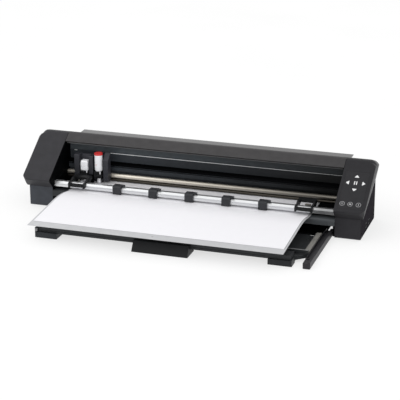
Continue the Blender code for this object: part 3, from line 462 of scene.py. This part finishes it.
def carrier_details():
    """Each outer carrier has a bright leaf spring over its roller, and three ribs on its front."""
    for side in ("left", "right"):
        node = "roller_carrier_" + side
        middle = middle_x(node)
        bm = bmesh.new()
        if side == "left":
            block(bm, (middle - 0.0075, 0.0560, 0.0600), (middle - 0.0030, 0.0590, 0.0665), 0.0006)
        else:
            block(bm, (middle - 0.0030, 0.0550, 0.0612), (middle + 0.0120, 0.0590, 0.0660), 0.0006)
        piece(f"carrier_spring_{side}", bm, STEEL, "carrier_" + side)
        bm = bmesh.new()
        for k in range(3):
            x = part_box(node)[0].x + 0.0105 + k * 0.011
            block(bm, (x, 0.0241, 0.0586), (x + 0.0012, 0.0252, 0.0606), 0.0003)
        piece(f"carrier_ribs_{side}", bm, CLIP, "carrier_" + side)


def clip_details():
    """A raised pad on the front of each clip and three ridges on its top."""
    for number in range(1, 6):
        low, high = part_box(f"roller_clip_{number}")
        bm = bmesh.new()
        block(bm, (low.x + 0.0020, 0.0276, 0.0515), (high.x - 0.0020, 0.0285, 0.0640), 0.0006)
        for k in range(3):
            y = 0.0360 + 0.0035 * k
            block(bm, (low.x + 0.0040, y, 0.0690), (high.x - 0.0040, y + 0.0012, 0.0695), 0.0002)
        piece(f"clip_pad_{number}", bm, CLIP)


def right_edge(name):
    """Upper edge of a sheet's right side, from front to back, as (y, z) pairs read from its mesh."""
    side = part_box(name)[1].x
    heights = {}
    for vertex in frame["nodes"][name].data.vertices:
        if vertex.co.x > side - 0.0001:
            y = round(vertex.co.y, 5)
            heights[y] = max(heights.get(y, 0), vertex.co.z)
    return sorted(heights.items())


def height_at(edge, y):
    """Height of an edge at this depth, between its two nearest points."""
    for (near, low), (far, high) in zip(edge, edge[1:]):
        if near <= y <= far:
            return low + (high - low) * (y - near) / (far - near)
    return edge[0][1]


def ribbon(bm, edge, x0, x1, low, high):
    """A strip between x0 and x1 that follows an edge's heights."""
    rows = []
    for y, z in edge:
        corners = ((x0, z + low), (x1, z + low), (x1, z + high), (x0, z + high))
        rows.append([bm.verts.new((x, y, height)) for x, height in corners])
    for near, far in zip(rows, rows[1:]):
        for k in range(4):
            bm.faces.new((near[k], near[(k + 1) % 4], far[(k + 1) % 4], far[k]))
    bm.faces.new(rows[0])
    bm.faces.new(rows[-1])


def media_details():
    """A dark strip of painted shadow along the sheet's right edge, and the eyelet in the mat's front margin.
    """
    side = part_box("vinyl_sheet")[1].x
    # Painted shadow along the sheet's right edge
    bm = bmesh.new()
    ribbon(bm, right_edge("vinyl_sheet"), side + 0.0001, side + 0.0014, -0.0004, 0.0)
    piece("sheet_edge_shadow", bm, LINE, "media")
    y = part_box("cutting_mat")[0].y + 0.0125
    height = height_at(right_edge("cutting_mat"), y)
    bm = bmesh.new()
    ring(bm, 0.0010, 0.0024, height - 0.0002, height + 0.0003, Matrix.Translation((-0.0135, y, 0)), 20)
    piece("mat_eyelet", bm, SIGN_DIM, "media")


def drawer_details():
    """A strip of painted highlight on the tray's step, the plug in the bar's left end, the handle's lip and
    a dark strip of painted shade for the bar's groove.
    """
    # Painted highlight along the top of the tray's step
    bm = bmesh.new()
    block(bm, (0.2850, -0.1313, 0.0234), (0.3322, -0.1290, 0.0239), 0.0002)
    piece("tray_step_highlight", bm, HIGHLIGHT, "drawer")
    bm = bmesh.new()
    block(bm, (-0.3138, -0.1842, 0.0150), (-0.3090, -0.1785, 0.0240), 0.0012)
    piece("bar_end_plug", bm, LINE, "drawer")
    bm = bmesh.new()
    for x in (-0.062, 0.062):
        block(bm, (x - 0.002, -0.2034, 0.0008), (x + 0.002, -0.2026, 0.0026), 0.0003)
    block(bm, (-0.060, -0.2033, 0.0012), (0.060, -0.2027, 0.0018), 0.0002)
    piece("handle_lip", bm, CLIP, "drawer")
    # Painted shade for the groove along the bar
    bm = bmesh.new()
    for x0, x1 in ((-0.300, -0.070), (0.073, 0.245)):
        block(bm, (x0, -0.1784, 0.0180), (x1, -0.1776, 0.0186), 0.0002)
    piece("drawer_bar_groove_shade", bm, BLACK_AND_SHADE, "drawer")


def housing_details():
    """Vent slots at the back as dark strips of painted shade, screws at the back, and plugs low on the
    sides.
    """
    bm = bmesh.new()
    for k in range(16):
        x = -0.075 + 0.010 * k
        block(bm, (x - 0.0015, 0.1826, 0.085), (x + 0.0015, 0.1833, 0.115), 0.0003)
    piece("rear_vent_shade", bm, BLACK_AND_SHADE)
    bm = bmesh.new()
    for x in (-0.33, -0.165, 0.0, 0.165, 0.33):
        for z in (0.058, 0.130):
            at = Matrix.Translation((x, NOSE_Y + 0.183, z)) @ Matrix.Rotation(-TURN_FLAT, 4, "X")
            ring(bm, 0.0010, 0.0030, -0.0004, 0.0006, at, 20)
    piece("rear_screws", bm, STEEL)
    bm = bmesh.new()
    for side in (-1, 1):
        for y in (0.036, 0.168):
            at = Matrix.Translation((side * 0.4188, NOSE_Y + y, 0.014))
            at = at @ Matrix.Rotation(side * TURN_FLAT, 4, "Y")
            ring(bm, 0.0012, 0.0028, -0.0005, 0.0004, at, 20)
    piece("side_screws", bm, RUBBER)


touch_signs()
cover_seams()
bay_trim()
tool_marks()
carrier_details()
clip_details()
media_details()
drawer_details()
housing_details()


# Floor, light and camera


def floor():
    """A pale floor with a light of its own, which keeps the shadows soft."""
    bm = bmesh.new()
    bmesh.ops.create_grid(bm, x_segments=2, y_segments=2, size=12)
    mesh = bpy.data.meshes.new("floor")
    bm.to_mesh(mesh)
    bm.free()
    made = bpy.data.objects.new("floor", mesh)
    bpy.context.scene.collection.objects.link(made)
    paper = mottled("paper", (0.30, 0.30, 0.30), (0.32, 0.32, 0.32), (0.9, 1.0), scale=2, bump=0.0)
    glow = paper.node_tree.nodes["Principled BSDF"].inputs
    glow["Specular IOR Level"].default_value = 0.0
    glow["Emission Color"].default_value = (1, 1, 1, 1)
    glow["Emission Strength"].default_value = 0.68
    paint(made, paper)


def lamp(name, at, size, watts):
    """A rectangular lamp that points at the machine."""
    data = bpy.data.lights.new(name, "AREA")
    data.shape = "RECTANGLE"
    data.size, data.size_y = size
    data.energy = watts
    made = bpy.data.objects.new(name, data)
    bpy.context.scene.collection.objects.link(made)
    made.location = at
    aim = Vector((0, 0, 0.05))
    made.rotation_euler = (aim - Vector(at)).to_track_quat("-Z", "Y").to_euler()


def world():
    scene_world = bpy.data.worlds.new("studio")
    bpy.context.scene.world = scene_world
    scene_world.use_nodes = True
    background = scene_world.node_tree.nodes["Background"]
    background.inputs["Color"].default_value = (1, 1, 1, 1)
    background.inputs["Strength"].default_value = 1.0


def camera():
    azimuth, elevation, roll = radians(18.06), radians(19.52), radians(-0.17)
    data = bpy.data.cameras.new("camera")
    data.lens = 130.9
    data.sensor_width = 36
    data.clip_end = 50
    made = bpy.data.objects.new("camera", data)
    bpy.context.scene.collection.objects.link(made)
    made.location = (1.0446, -3.1001 + NOSE_Y, 1.2240)
    away = Vector((sin(azimuth) * cos(elevation), -cos(azimuth) * cos(elevation), sin(elevation)))
    turn = away.to_track_quat("Z", "Y").to_matrix() @ Matrix.Rotation(roll, 3, "Z")
    made.rotation_euler = turn.to_euler()
    bpy.context.scene.camera = made


floor()
lamp("key", (-1.6, -1.6, 2.4), (2.4, 2.4), 14)
lamp("fill", (0.6, -2.6, 1.6), (2.0, 1.4), 6)
world()
camera()
bpy.context.scene.view_settings.view_transform = "Standard"
